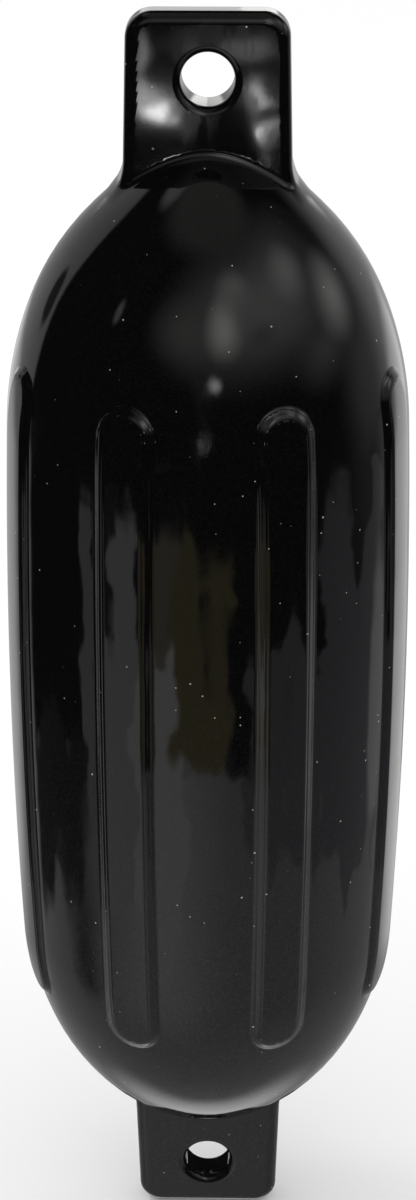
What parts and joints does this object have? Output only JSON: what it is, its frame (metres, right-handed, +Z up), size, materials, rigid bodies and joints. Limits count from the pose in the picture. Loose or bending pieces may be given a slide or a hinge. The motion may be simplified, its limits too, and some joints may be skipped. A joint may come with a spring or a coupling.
{
  "type": "pneumatic boat fender",
  "caption": "Ribbed cylindrical air-filled boat fender with domed ends and a flat rope eye at each end, hung by a line to cushion a hull",
  "frame": {"origin": "middle of the top eye's rope hole, half way through the eye", "axes": "+Z up along the fender's axis as it hangs; the rope holes run along Y, and the front faces -Y"},
  "size_m": [0.166, 0.166, 0.5522],
  "materials": {
    "glossy_vinyl": "high-gloss black marine vinyl, as it leaves a polished rotational mould",
    "valve_rubber": "matt black soft rubber"
  },
  "bodies": {
    "root": {"fender_body": "glossy_vinyl", "inflation_valve": "valve_rubber"}
  },
  "joints": []
}
